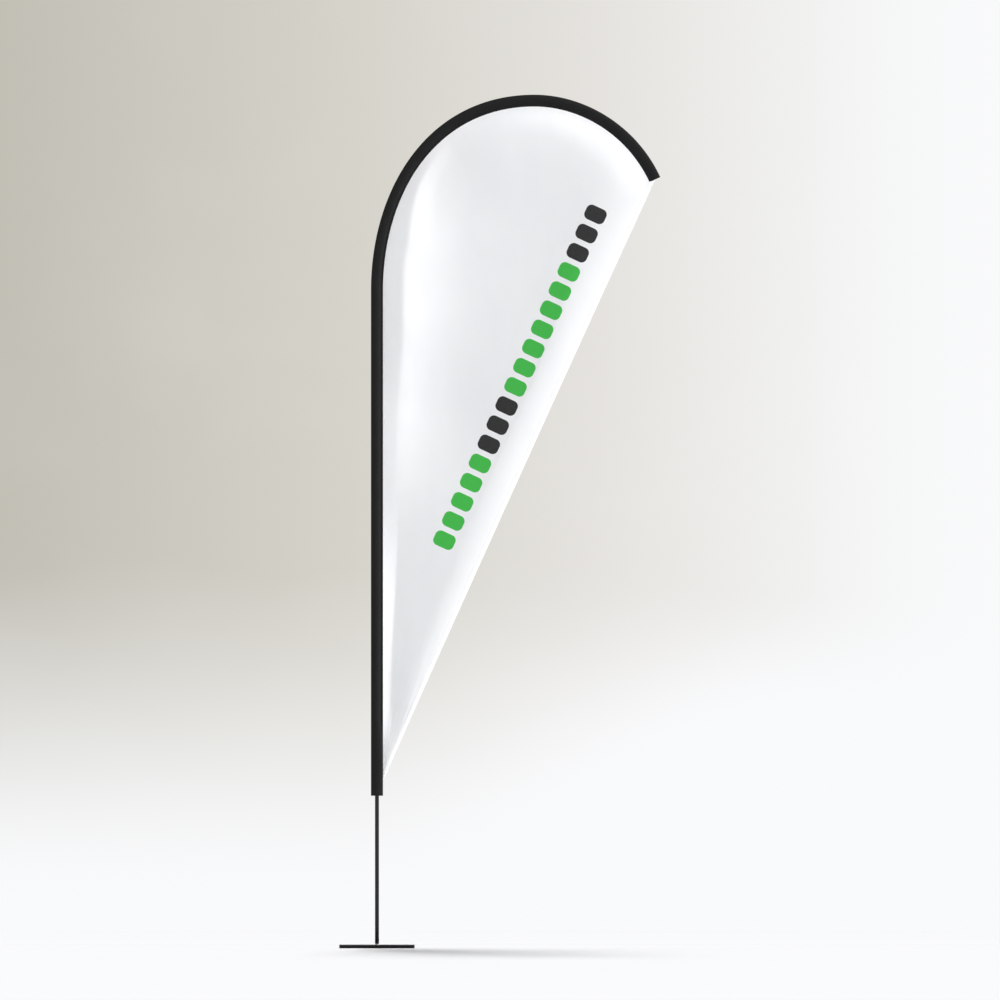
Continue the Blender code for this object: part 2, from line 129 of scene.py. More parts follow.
def spread(tree, value, low, high, toLow=0.0, toHigh=1.0, soft=False):
    kind = "SMOOTHSTEP" if soft else "LINEAR"
    inputs = {"Value": value, "From Min": low, "From Max": high, "To Min": toLow, "To Max": toHigh}
    return addNode(tree, "MapRange", inputs, interpolation_type=kind).outputs[0]


def roughOver(tree, value, low, high, spec):
    # the finish's roughness, uneven by its roughSpan below and above
    less, more = spec["roughSpan"]
    return spread(tree, value, low, high, spec["roughness"] - less, spec["roughness"] + more)


def scaled(tree, place, scale):
    return addNode(tree, "Mapping", {"Vector": place, "Scale": scale}).outputs[0]


def ownPlace(tree, scale=(1, 1, 1)):
    return scaled(tree, addNode(tree, "TexCoord").outputs["Object"], scale)


def axesOf(tree, place):
    return addNode(tree, "SeparateXYZ", {"Vector": place}).outputs


def noiseOf(tree, place, scale, detail=3.0, rough=0.5):
    inputs = {"Vector": place, "Scale": scale, "Detail": detail, "Roughness": rough}
    return addNode(tree, "TexNoise", inputs).outputs[0]


def blendColours(tree, share, first, second):
    node = addNode(tree, "Mix", data_type="RGBA")
    wire(tree, share, node.inputs[0])
    for slot, value in ((6, first), (7, second)):
        colour = value if isinstance(value, bpy.types.NodeSocket) else (*value[:3], 1)
        wire(tree, colour, node.inputs[slot])
    return node.outputs[2]


def toned(colour, share):
    return [c * share for c in colour]


def bumpOf(tree, height, distance, strength=1.0, under=None):
    node = addNode(tree, "Bump", {"Height": height, "Distance": distance, "Strength": strength})
    wire(tree, under, node.inputs["Normal"])
    return node.outputs[0]


def ribs(tree, value, pitch):
    # -1 to 1 across each rib
    return calc(tree, "SINE", times(tree, value, 2 * math.pi / pitch))


# Finishes. A bump is its height in metres, then its strength.

powderCoat = {
    "colour": (0.0155, 0.0155, 0.016),
    "worn": (0.030, 0.030, 0.030),
    "roughness": 0.72,
    "roughSpan": (0.06, 0.10),
    "specular": 0.05,
    "peelSize": 0.0011,
    "peelBump": (0.00008, 0.55),
    "patchScale": 14.0,
    "scuffScale": 320.0,
}


def finishPowder(spec):
    finish, tree, shader = finishNodes("powder_coat", spec)
    place = ownPlace(tree)
    peel = noiseOf(tree, place, 1 / spec["peelSize"], 2.0)
    patches = noiseOf(tree, place, spec["patchScale"], 5.0, 0.65)
    scuffs = noiseOf(tree, ownPlace(tree, (1.0, 0.12, 1.0)), spec["scuffScale"], 2.0)
    scuff = times(tree, spread(tree, scuffs, 0.68, 0.76), spread(tree, patches, 0.50, 0.70))
    feed(tree, shader, colour=blendColours(tree, scuff, spec["colour"], spec["worn"]),
         roughness=roughOver(tree, patches, 0.3, 0.8, spec), normal=bumpOf(tree, peel, *spec["peelBump"]))


matRubber = {
    "colour": (0.012, 0.012, 0.012),
    "roughness": 0.85,
    "specular": 0.25,
    "ribPitch": 0.004,
    "ribBump": (0.0003, 0.8),
    "grainScale": 1500.0,
    "grainBump": (0.00004, 0.5),
}


def finishMat(spec):
    finish, tree, shader = finishNodes("mat_rubber", spec)
    x, y, z = axesOf(tree, ownPlace(tree))
    rib = ribs(tree, calc(tree, "ADD", x, y), spec["ribPitch"])
    cross = ribs(tree, calc(tree, "SUBTRACT", x, y), spec["ribPitch"])
    grain = noiseOf(tree, ownPlace(tree), spec["grainScale"], 2.0)
    raised = bumpOf(tree, calc(tree, "MAXIMUM", rib, cross), *spec["ribBump"])
    feed(tree, shader, normal=bumpOf(tree, grain, *spec["grainBump"], raised))


zincSteel = {
    "colour": (0.50, 0.51, 0.52),
    "dull": 0.72,  # share of the colour left where it is dull
    "roughness": 0.34,
    "roughSpan": (0.08, 0.12),
    "metallic": 1.0,
    "specular": 0.5,
    "turnedScale": (60, 60, 5200),  # turning marks round the axis
    "turnedBump": (0.00003, 0.5),
    "cloudScale": 180.0,
}


def finishSteel(spec):
    finish, tree, shader = finishNodes("zinc_steel", spec)
    turned = noiseOf(tree, ownPlace(tree, spec["turnedScale"]), 1.0, 3.0)
    cloudy = noiseOf(tree, ownPlace(tree), spec["cloudScale"], 4.0, 0.6)
    dull = toned(spec["colour"], spec["dull"])
    feed(tree, shader, colour=blendColours(tree, cloudy, spec["colour"], dull),
         roughness=roughOver(tree, cloudy, 0.25, 0.75, spec),
         normal=bumpOf(tree, turned, *spec["turnedBump"]))


nylonBlack = {
    "colour": (0.017, 0.017, 0.018),
    "roughness": 0.48,
    "roughSpan": (0.07, 0.09),
    "specular": 0.4,
    "grainScale": 1400.0,
    "grainBump": (0.00004, 0.5),
    "flowScale": 220.0,
}


def finishNylon(spec):
    finish, tree, shader = finishNodes("nylon", spec)
    grain = noiseOf(tree, ownPlace(tree), spec["grainScale"], 2.0)
    flow = noiseOf(tree, ownPlace(tree, (1, 1, 0.2)), spec["flowScale"], 4.0)
    feed(tree, shader, roughness=roughOver(tree, flow, 0.3, 0.7, spec),
         normal=bumpOf(tree, grain, *spec["grainBump"]))


ringRubber = {
    "colour": (0.010, 0.010, 0.010),
    "bloom": 2.2,  # how much paler the bloom is
    "roughness": 0.42,
    "specular": 0.4,
    "bloomScale": 600.0,
    "bloomBump": (0.00003, 0.4),
}


def finishRing(spec):
    finish, tree, shader = finishNodes("o_ring_rubber", spec)
    bloom = noiseOf(tree, ownPlace(tree), spec["bloomScale"], 3.0)
    paler = toned(spec["colour"], spec["bloom"])
    feed(tree, shader, colour=blendColours(tree, spread(tree, bloom, 0.45, 0.8), spec["colour"], paler),
         normal=bumpOf(tree, bloom, *spec["bloomBump"]))


poleFibre = {
    "colour": (0.013, 0.013, 0.014),
    "streak": (0.022, 0.022, 0.024),
    "roughness": 0.30,
    "roughSpan": (0.05, 0.10),
    "specular": 0.22,
    "fibreScale": (900, 900, 7),  # long fibres under the resin
    "fibreBump": (0.00004, 0.35),
    "wrapScale": 30.0,
}


def finishPole(spec):
    finish, tree, shader = finishNodes("pole_glass_fibre", spec)
    fibres = noiseOf(tree, ownPlace(tree, spec["fibreScale"]), 1.0, 4.0, 0.6)
    wrap = noiseOf(tree, ownPlace(tree, (1, 1, 0.3)), spec["wrapScale"], 4.0, 0.6)
    streaks = spread(tree, fibres, 0.45, 0.75)
    feed(tree, shader, colour=blendColours(tree, streaks, spec["colour"], spec["streak"]),
         roughness=roughOver(tree, wrap, 0.3, 0.75, spec), normal=bumpOf(tree, fibres, *spec["fibreBump"]))


cordBraid = {
    "colour": (0.016, 0.016, 0.017),
    "fleck": (0.10, 0.10, 0.10),
    "fleckShare": 0.5,
    "roughness": 0.8,
    "specular": 0.25,
    "pitch": 0.0016,
    "lean": 0.8,  # climb of each strand for its way round
    "braidBump": (0.0002, 0.8),
}


def finishBraid(spec):
    finish, tree, shader = finishNodes("elastic_cord", spec)
    x, y, z = axesOf(tree, ownPlace(tree))
    rise = times(tree, z, spec["lean"])
    one = ribs(tree, calc(tree, "ADD", y, rise), spec["pitch"])
    two = ribs(tree, calc(tree, "SUBTRACT", y, rise), spec["pitch"])
    speck = times(tree, spread(tree, times(tree, one, two), 0.6, 0.9), spec["fleckShare"])
    feed(tree, shader, colour=blendColours(tree, speck, spec["colour"], spec["fleck"]),
         normal=bumpOf(tree, calc(tree, "MAXIMUM", one, two), *spec["braidBump"]))


sleeveCloth = {
    "colour": (0.0118, 0.0118, 0.0118),
    "lit": (0.0175, 0.0175, 0.0175),
    "litShares": (0.35, 0.5),  # by the weave and by the rubbed patches
    "roughness": 0.85,
    "specular": 0.14,
    "pitch": 0.0011,
    "slubScale": (240, 1400, 1),
    "slubShare": 0.7,
    "rubScale": (40, 9, 1),
    "weaveBump": (0.00007, 0.6),
    "creaseBump": (0.0006, 0.35),
}


def finishWeave(name, spec, run=None):
    # plain weave; run names the point attribute that lies along the cloth
    finish, tree, shader = finishNodes(name, spec)
    place = addNode(tree, "Attribute", attribute_name=run).outputs["Vector"] if run else ownPlace(tree)
    x, y, z = axesOf(tree, place)
    weave = times(tree, ribs(tree, x, spec["pitch"]), ribs(tree, y if run else z, spec["pitch"]))
    slubs = noiseOf(tree, scaled(tree, place, spec["slubScale"]), 1.0, 3.0)
    rub = noiseOf(tree, scaled(tree, place, spec["rubScale"]), 1.0, 4.0, 0.6)
    byWeave, byRub = spec["litShares"]
    lit = calc(tree, "ADD", times(tree, spread(tree, weave, -1, 1), byWeave),
               times(tree, spread(tree, rub, 0.4, 0.8), byRub))
    threads = calc(tree, "ADD", weave, times(tree, slubs, spec["slubShare"]))
    creases = bumpOf(tree, rub, *spec["creaseBump"])
    feed(tree, shader, colour=blendColours(tree, lit, spec["colour"], spec["lit"]),
         normal=bumpOf(tree, threads, *spec["weaveBump"], creases))
    return finish


panelCloth = {
    "colour": (0.865, 0.870, 0.880),
    "shade": (0.835, 0.842, 0.858),
    "roughness": 0.78,
    "specular": 0.2,
    "pitch": 0.0014,
    # hole: painted shade in the knit's pinholes, how much shows and its colour as a share
    "hole": (0.10, 0.6),  # how much of a pinhole shows, and its colour as a share
    "knitBump": (0.00006, 0.45),
    "cloudScale": 6.0,
    "printFrom": (0.251, 1.586),
    "printTo": (0.888, 2.960),
    "blocks": (5, 3, 7, 3),  # blocks of each colour in turn
    "blockSize": (0.062, 0.086, 0.022),  # along, across, corner
    "inks": ((0.053, 0.470, 0.067), (0.026, 0.026, 0.026)),
    "inkEdge": 0.0005,
}
hemCloth = {  # doubled, so whiter
    **panelCloth,
    "colour": (0.945, 0.948, 0.955),
    "shade": (0.925, 0.930, 0.940),
}


def distanceAlong(tree, place, way, start):
    # how far a place is from a start (x, z) along a way (x, z)
    dot = addNode(tree, "VectorMath", {0: place, 1: (way[0], 0, way[1])}, operation="DOT_PRODUCT")
    return calc(tree, "SUBTRACT", dot.outputs["Value"], start[0] * way[0] + start[1] * way[1])


def printShare(tree, place, spec):
    # share of ink and share of the second colour, for a row of rounded blocks
    start, end = spec["printFrom"], spec["printTo"]
    run = math.dist(start, end)
    cx, cz = (end[0] - start[0]) / run, (end[1] - start[1]) / run
    along = distanceAlong(tree, place, (cx, cz), start)
    across = distanceAlong(tree, place, (-cz, cx), start)
    pitch = run / sum(spec["blocks"])
    inCell = calc(tree, "SUBTRACT", calc(tree, "FLOORED_MODULO", along, pitch), pitch / 2)
    length, width, corner = spec["blockSize"]
    squares = []
    for value, size in ((inCell, length), (across, width)):
        past = calc(tree, "SUBTRACT", calc(tree, "ABSOLUTE", value), size / 2 - corner)
        side = calc(tree, "MAXIMUM", past, 0)
        squares.append(times(tree, side, side))
    away = calc(tree, "SUBTRACT", calc(tree, "SQRT", calc(tree, "ADD", *squares)), corner)
    ink = spread(tree, away, spec["inkEdge"], -spec["inkEdge"])
    ink = times(tree, ink, calc(tree, "GREATER_THAN", along, 0.0))
    ink = times(tree, ink, calc(tree, "LESS_THAN", along, run))
    ends = [sum(spec["blocks"][: i + 1]) * pitch for i in range(3)]
    passed = [calc(tree, "GREATER_THAN", along, place) for place in ends]
    return ink, calc(tree, "ADD", calc(tree, "SUBTRACT", passed[0], passed[1]), passed[2])


def finishKnit(name, spec, printed=False):
    # warp knit: fine wales with a pinhole between the loops
    finish, tree, shader = finishNodes(name, spec)
    place = ownPlace(tree)
    x, y, z = axesOf(tree, place)
    wales = ribs(tree, x, spec["pitch"])
    lean = times(tree, wales, spec["pitch"] * 0.2)
    courses = ribs(tree, calc(tree, "ADD", z, lean), spec["pitch"] * 0.8)
    knit = times(tree, wales, courses)
    cloudy = noiseOf(tree, ownPlace(tree, (1, 1, 0.4)), spec["cloudScale"], 5.0, 0.6)
    colour = blendColours(tree, spread(tree, cloudy, 0.35, 0.75), spec["colour"], spec["shade"])
    # painted shade: the pinholes between the loops darker than the cloth
    holeShare, holeTone = spec["hole"]
    holes = times(tree, spread(tree, knit, -0.6, -1.0), holeShare)
    colour = blendColours(tree, holes, colour, toned(spec["colour"], holeTone))
    if printed:
        ink, second = printShare(tree, place, spec)
        inks = blendColours(tree, second, *spec["inks"])
        colour = blendColours(tree, times(tree, ink, spread(tree, knit, -1.0, -0.5, 0.90, 1.0)), colour, inks)
    feed(tree, shader, colour=colour, normal=bumpOf(tree, knit, *spec["knitBump"]))
    return finish


sewingThread = {
    "roughness": 0.6,
    "specular": 0.3,
    "twist": 0.0005,
    "lean": 0.7,
    # low: painted shade, the share of the colour left in the grooves between the strands
    "low": 0.75,  # share of the colour left between the strands
    "bump": (0.00008, 0.6),
}


def finishThread(name, colour, spec):
    finish, tree, shader = finishNodes(name, {**spec, "colour": colour})
    x, y, z = axesOf(tree, ownPlace(tree))
    twist = ribs(tree, calc(tree, "ADD", z, times(tree, x, spec["lean"])), spec["twist"])
    # painted shade: the thread darker in the grooves between its strands, full colour on them
    low = toned(colour, spec["low"])
    feed(tree, shader, colour=blendColours(tree, spread(tree, twist, -1, 1), low, colour),
         normal=bumpOf(tree, twist, *spec["bump"]))
    return finish


finishPowder(powderCoat)
finishMat(matRubber)
finishSteel(zincSteel)
finishNylon(nylonBlack)
finishRing(ringRubber)
finishPole(poleFibre)
finishBraid(cordBraid)
finishWeave("sleeve_fabric", sleeveCloth)  # the pocket and the anchor
finishKnit("panel_fabric", panelCloth)
finishes = {
    "sleeve": finishWeave("sleeveWeave", sleeveCloth, run="run"),
    "panel": finishKnit("panelKnit", panelCloth, printed=True),
    "hem": finishKnit("hemKnit", hemCloth),
    "whiteThread": finishThread("whiteThread", (0.84, 0.85, 0.86), sewingThread),
    "blackThread": finishThread("blackThread", (0.016, 0.016, 0.016), sewingThread),
}
print("finishes made")


# The hard pieces from the frame: joined corners and small round edges

roundEdges = {
    "spindle_pin": 0.0002, "thrust_washer": 0.0002,
    "cap_washer": 0.0002, "cap_screw": 0.0002, "spindle_screw": 0.0002, "bearing_sleeve": 0.0002,
    "pole_section_1": 0.0003, "tension_collar": 0.0003, "collar_screw": 0.0001, "pole_tip_cap": 0.0003,
    "ferrule_1": 0.0002, "ferrule_2": 0.0002, "ferrule_3": 0.0002,
}


def easeEdges(widths):
    for name, width in widths.items():
        piece = bpy.data.objects[name]
        weld = piece.modifiers.new("weld", "WELD")
        weld.merge_threshold = 0.000005
        bevel = piece.modifiers.new("roundEdges", "BEVEL")
        bevel.width = width
        bevel.segments = 2
        bevel.limit_method = "ANGLE"
        bevel.angle_limit = math.radians(40)
        bevel.harden_normals = False
        bevel.miter_outer = "MITER_ARC"
        if "custom_normal" in piece.data.attributes:
            piece.data.attributes.remove(piece.data.attributes["custom_normal"])
        piece.data.shade_smooth()
        split = piece.modifiers.new("split", "EDGE_SPLIT")
        split.split_angle = math.radians(35)


easeEdges(roundEdges)
print("hard pieces eased")


# The pole's line, as the frame has it: straight up, over the top and down to the tip

poleBend = {
    "start": (0.0, 2.620),
    "apex": (0.627, 3.3745),
    "tip": (1.107, 3.060),
    "tipSlope": 65.0,  # degrees below level
    "riseHandles": (0.385, 0.415),
    "fallHandles": (0.184, 0.226),
    "step": 0.004,
}


def bezierPoints(corners, count):
    a, b, c, d = (np.array(p, float) for p in corners)
    t = np.linspace(0, 1, count)[:, None]
    u = 1 - t
    return u**3 * a + 3 * u * u * t * b + 3 * u * t * t * c + t**3 * d


def makePoleLine(bend):
    slope = math.radians(bend["tipSlope"])
    start, apex, tip = bend["start"], bend["apex"], bend["tip"]
    rise, fall = bend["riseHandles"], bend["fallHandles"]
    beforeTip = (tip[0] - math.cos(slope) * fall[1], tip[1] + math.sin(slope) * fall[1])
    up = bezierPoints([start, (start[0], start[1] + rise[0]), (apex[0] - rise[1], apex[1]), apex], 900)
    down = bezierPoints([apex, (apex[0] + fall[0], apex[1]), beforeTip, tip], 600)
    rough = np.vstack([[[0.0, 0.0]], up, down[1:]])
    along = np.concatenate([[0], np.cumsum(np.linalg.norm(np.diff(rough, axis=0), axis=1))])
    steps = np.linspace(0, along[-1], int(along[-1] / bend["step"]) + 1)
    points = np.stack([np.interp(steps, along, rough[:, k]) for k in (0, 1)], 1)
    way = np.gradient(points, axis=0)
    way[steps < bend["start"][1] - 0.004] = (0, 1)
    way /= np.linalg.norm(way, axis=1)[:, None]
    return {"along": steps, "points": points, "way": way, "end": along[-1]}


poleLine = makePoleLine(poleBend)


def onLine(s):
    # places, ways and sides towards the flag at distances s, each as rows of (x, z)
    s = np.atleast_1d(s)
    place = np.stack([np.interp(s, poleLine["along"], poleLine["points"][:, k]) for k in (0, 1)], 1)
    way = np.stack([np.interp(s, poleLine["along"], poleLine["way"][:, k]) for k in (0, 1)], 1)
    way /= np.linalg.norm(way, axis=1)[:, None]
    return place, way, np.stack([way[:, 1], -way[:, 0]], 1)


def smooth(value, low, high):
    t = np.clip((value - low) / (high - low), 0, 1)
    return t * t * (3 - 2 * t)


def ripple(value, length, seed):
    # a slow uneven wave from -1 to 1 that never quite repeats
    value = np.asarray(value) * 2 * math.pi / length
    return sum(share * np.sin(value * speed + seed * 1.7 + k * 2.1)
               for k, (share, speed) in enumerate(((0.5, 1.0), (0.3, 1.618), (0.2, 2.414))))


# Mesh helpers

def makePiece(name, vertices, faces, finish, body, points=None):
    mesh = bpy.data.meshes.new(name)
    mesh.from_pydata(np.asarray(vertices, float).tolist(), [], [tuple(int(i) for i in f) for f in faces])
    if points is not None:
        run = mesh.attributes.new("run", "FLOAT_VECTOR", "POINT")
        run.data.foreach_set("vector", np.asarray(points, np.float32).ravel())
    mesh.update()
    mesh.shade_smooth()
    mesh.materials.append(finish)
    piece = bpy.data.objects.new(name, mesh)
    scene.collection.objects.link(piece)
    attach(piece, body)
    return piece


def loftFaces(rows, columns):
    # quads round closed rings, row after row
    r, c = np.meshgrid(np.arange(rows - 1), np.arange(columns), indexing="ij")
    n = (c + 1) % columns
    corners = [r * columns + c, r * columns + n, (r + 1) * columns + n, (r + 1) * columns + c]
    return np.stack(corners, -1).reshape(-1, 4).tolist()


def stitchMesh(places, ways, outs, length, radius):
    # short thread humps, their ends dipping into the cloth
    places, ways, outs = (np.asarray(a, float) for a in (places, ways, outs))
    ways = ways / np.linalg.norm(ways, axis=1)[:, None]
    outs = outs / np.linalg.norm(outs, axis=1)[:, None]
    cross = np.cross(ways, outs)
    angles = np.linspace(0, 2 * math.pi, 6)[:5]
    ringAt, template = 0.33 * length, []
    for end in (-1, 1):
        template += [(end * ringAt, math.cos(a) * radius, math.sin(a) * radius) for a in angles]
    template += [(-length / 2, 0, -radius * 0.7), (length / 2, 0, -radius * 0.7)]
    template = np.array(template)
    vertices = places[:, None]
    for k, axis in enumerate((ways, cross, outs)):
        vertices = vertices + template[None, :, k:k + 1] * axis[:, None]
    faces = []
    for k in range(5):
        n = (k + 1) % 5
        faces += [(k, n, 5 + n), (k, 5 + n, 5 + k), (10, n, k), (11, 5 + k, 5 + n)]
    faces = np.array(faces)[None] + 12 * np.arange(len(places))[:, None, None]
    return vertices.reshape(-1, 3), faces.reshape(-1, 3).tolist()


# Flag panel

panelShape = {
    "corner": (0.0243, 0.669),
    "sleeveHalf": 0.024,
    "underFlange": 0.008,  # how far the cloth runs in under the sleeve's seam
    "bow": 0.004,  # how far the free edge curves in
    "freeLength": 2.62,
    "thickness": 0.00035,
    "rows": 240,
    "columns": 150,
}
panelFolds = {
    # height gained per metre at distances from the edge: up the roll beside the sleeve, down its far side,
    # and over the top
    "rollUp": ((0, 0.36), (0.048, 0.34), (0.070, 0.16), (0.086, 0), (0.430, 0)),
    "rollDown": ((0, 0), (0.070, 0), (0.095, -0.13), (0.115, -0.17), (0.150, -0.17), (0.185, -0.14),
                 (0.230, -0.08), (0.270, -0.05), (0.350, -0.01), (0.430, 0)),
    "top": ((0, 0.14), (0.030, 0.20), (0.100, 0.20), (0.150, 0.15), (0.200, 0.06), (0.240, 0)),
    # how wide and how full the roll is, by distance along the sleeve
    "rollWidth": ((1.50, 0.40), (2.18, 0.75), (2.45, 1.0), (2.85, 1.0), (3.10, 0.50), (3.40, 0.30)),
    "upShare": ((1.80, 0.0), (2.18, 0.14), (2.50, 1.0), (3.10, 1.0), (3.30, 0.0)),
    "downShare": ((1.60, 0.0), (1.80, 0.15), (2.15, 0.80), (2.45, 1.0), (3.10, 1.0), (3.42, 0.0)),
    "bend": (3.00, 3.50),  # where along the sleeve the folds of the bend take over
    "free": (0.32, 0.150, 0.105),  # slope at the free edge, how far in its crest is high up and low down
    "freeBend": (0.60, 0.90),  # shares of the free edge between which it is the one or the other
    "fall": (0.20, 0.14),  # slope from that crest back towards the sleeve, and its reach
    # the low crease: distance from the sleeve at its foot and top, slope before and after, reach
    "crease": (0.032, 0.058, 0.27, 0.06, 0.110),
    "creaseHeights": (0.76, 0.95, 1.35, 1.85),  # where it starts, is full, and fades out
    "pucker": (0.0007, 0.055, 0.022),  # beside the sleeve: height, length, reach
    "freePucker": (0.0005, 0.060, 0.022),
    "drag": (0.0004, 0.07, 0.35),  # lines fanning out of the low corner: height, length, reach
    "sway": (0.0015, 1.9, 0.2),  # slow wave of the free edge: height, length, reach
    "cell": 0.008,
    "blur": 0.050,
}


def trailingLine(shape):
    corner = np.array(shape["corner"])
    tip, way, side = (a[0] for a in onLine(poleLine["end"]))
    tip = tip + side * 0.0003 + way * 0.0003
    along = (tip - corner) / np.linalg.norm(tip - corner)
    return corner, along, np.array([-along[1], along[0]]), np.linalg.norm(tip - corner)


def trailingPoint(shape, t, inset):
    corner, along, inward, length = trailingLine(shape)
    t = np.atleast_1d(t)[:, None]
    bow = shape["bow"] * 4 * t * (1 - t)
    return corner + along * t * length + inward * (bow + inset)


def edgeDistances(shape, points):
    # how far points lie from the sleeve's edge and from the free edge, and how far along each
    s = np.arange(0.3, poleLine["end"], 0.003)
    place, way, side = onLine(s)
    edge = place + side * shape["sleeveHalf"]
    tree = kdtree.KDTree(len(s))
    for i, p in enumerate(edge.tolist()):
        tree.insert((p[0], p[1], 0), i)
    tree.balance()
    near = np.array([tree.find((p[0], p[1], 0))[1] for p in points.tolist()])
    fromSleeve = np.einsum("ij,ij->i", points - edge[near], side[near])
    corner, along, inward, length = trailingLine(shape)
    offset = points - corner
    t = offset @ along / length
    fromFree = offset @ inward - shape["bow"] * 4 * t * (1 - t)
    return np.maximum(fromSleeve, 0), s[near], np.maximum(fromFree, 0), t


def climbTo(distance, slopes):
    # height reached at a distance, from a table of slopes
    at = np.linspace(0, slopes[-1][0], 400)
    slope = np.interp(at, *zip(*slopes))
    height = np.concatenate([[0], np.cumsum((slope[1:] + slope[:-1]) / 2 * np.diff(at))])
    return np.interp(distance, at, height)


def foldHeight(points, d, s, e, t, fold):
    width = d + e
    share = smooth(s, *fold["bend"])  # 0 beside the straight pole, 1 under the bend
    slope, upper, lower = fold["free"]
    high = smooth(t, *fold["freeBend"])
    crest = (np.minimum(lower, 0.6 * width) + 1e-4) * (1 - high) + upper * high
    free = slope * crest / 2 * (1 - (1 - np.minimum(e / crest, 1))**2)
    fullness = 0.7 + 0.6 * smooth(s, 3.3, 3.7) - 0.3 * smooth(s, 3.7, 4.1)  # most at the apex
    top = climbTo(d, fold["top"]) * fullness + 1e-5
    under = share * (1 - smooth(d, 0.25, 0.45))
    broad = (free + 1e-5) * (1 + under * ((free + 1e-5) / top)**3)**(-1 / 3)
    fall, reach = fold["fall"]
    fall = fall * np.maximum(share, smooth(width, 0.33, 0.62))
    fallen = fall * reach * (1 - np.exp(-np.maximum(e - crest, 0) / reach))
    edge = np.minimum(0.36, 0.8 * width) + 1e-4
    bent = broad - fallen * smooth(d, 0.04, 0.5)
    straight = (broad - fallen) * smooth(d / edge, 0, 1)
    height = bent * share + straight * (1 - share)
    wide = np.interp(s, *zip(*fold["rollWidth"]))
    up, down = np.interp(s, *zip(*fold["upShare"])), np.interp(s, *zip(*fold["downShare"]))
    roll = climbTo(d / wide, fold["rollUp"]) * up + climbTo(d / wide, fold["rollDown"]) * down
    past = climbTo(9, fold["rollUp"]) * up + climbTo(9, fold["rollDown"]) * down
    roll = roll - past * smooth(d, 0.18, 0.50)
    height = height + roll * wide * smooth(e, 0, 0.12)
    low, high, before, after, away = fold["crease"]
    middle = low + (high - low) * smooth(points[:, 1], 1.0, 1.7)
    foot, full, fading, gone = fold["creaseHeights"]
    valley = smooth(points[:, 1], foot, full) * (1 - smooth(points[:, 1], fading, gone))
    beyond = 0.5 * (d - middle + np.sqrt((d - middle)**2 + 0.004**2))
    dip = before * (beyond - d) + after * away * (1 - np.exp(-beyond / away))
    return height + valley * dip * smooth(e / (0.45 * width + 1e-4), 0, 1)


def makeFoldMap(shape, fold):
    # the folds on a grid, smoothed where the folds from either side run into each other
    cell = fold["cell"]
    xs, zs = np.arange(-0.10, 1.24, cell), np.arange(0.50, 3.50, cell)
    grid = np.stack(np.meshgrid(xs, zs, indexing="xy"), -1).reshape(-1, 2)
    d, s, e, t = edgeDistances(shape, grid)
    height = foldHeight(grid, d, s, e, t, fold)
    inside = ((d > 0) & (e > 0)).astype(float)
    height = (height * inside).reshape(len(zs), len(xs))
    inside = inside.reshape(height.shape)
    size = int(3 * fold["blur"] / cell)
    kernel = np.exp(-0.5 * (np.arange(-size, size + 1) * cell / fold["blur"])**2)
    for axis in (0, 1):
        height = np.apply_along_axis(np.convolve, axis, height, kernel, mode="same")
        inside = np.apply_along_axis(np.convolve, axis, inside, kernel, mode="same")
    return xs[0], zs[0], cell, height / np.maximum(inside, 1e-6)


foldMap = makeFoldMap(panelShape, panelFolds)


def readMap(points):
    x0, z0, cell, height = foldMap
    fx, fz = (points[:, 0] - x0) / cell, (points[:, 1] - z0) / cell
    i, j = np.floor(fx).astype(int), np.floor(fz).astype(int)
    a, b = fx - i, fz - j
    return (height[j, i] * (1 - a) * (1 - b) + height[j, i + 1] * a * (1 - b)
            + height[j + 1, i] * (1 - a) * b + height[j + 1, i + 1] * a * b)


def panelHeight(points, shape=panelShape, fold=panelFolds):
    # how far the cloth stands out at points (x, z)
    d, s, e, t = edgeDistances(shape, points)
    sharp = foldHeight(points, d, s, e, t, fold)
    soft = smooth(np.minimum(d, e), 0.07, 0.23)
    height = sharp * (1 - soft) + readMap(points) * soft
    run = t * shape["freeLength"]
    rise, length, reach = fold["pucker"]
    pucker = rise * ripple(s, length, 1) * np.exp(-d / reach) * smooth(d, 0.001, 0.010)
    rise, length, reach = fold["freePucker"]
    pucker = pucker + rise * ripple(run, length, 4) * np.exp(-e / reach)
    rise, length, reach = fold["drag"]
    angle = np.arctan2(e, np.maximum(run, 0.02))
    drag = rise * ripple(angle, length, 3) * np.exp(-run / reach) * smooth(d, 0, 0.02)
    rise, length, reach = fold["sway"]
    sway = rise * np.sin(math.pi * np.clip(t, 0, 1)) * ripple(run, length, 2) * np.exp(-e / reach)
    return height + pucker + drag + sway * smooth(d, 0, 0.1)


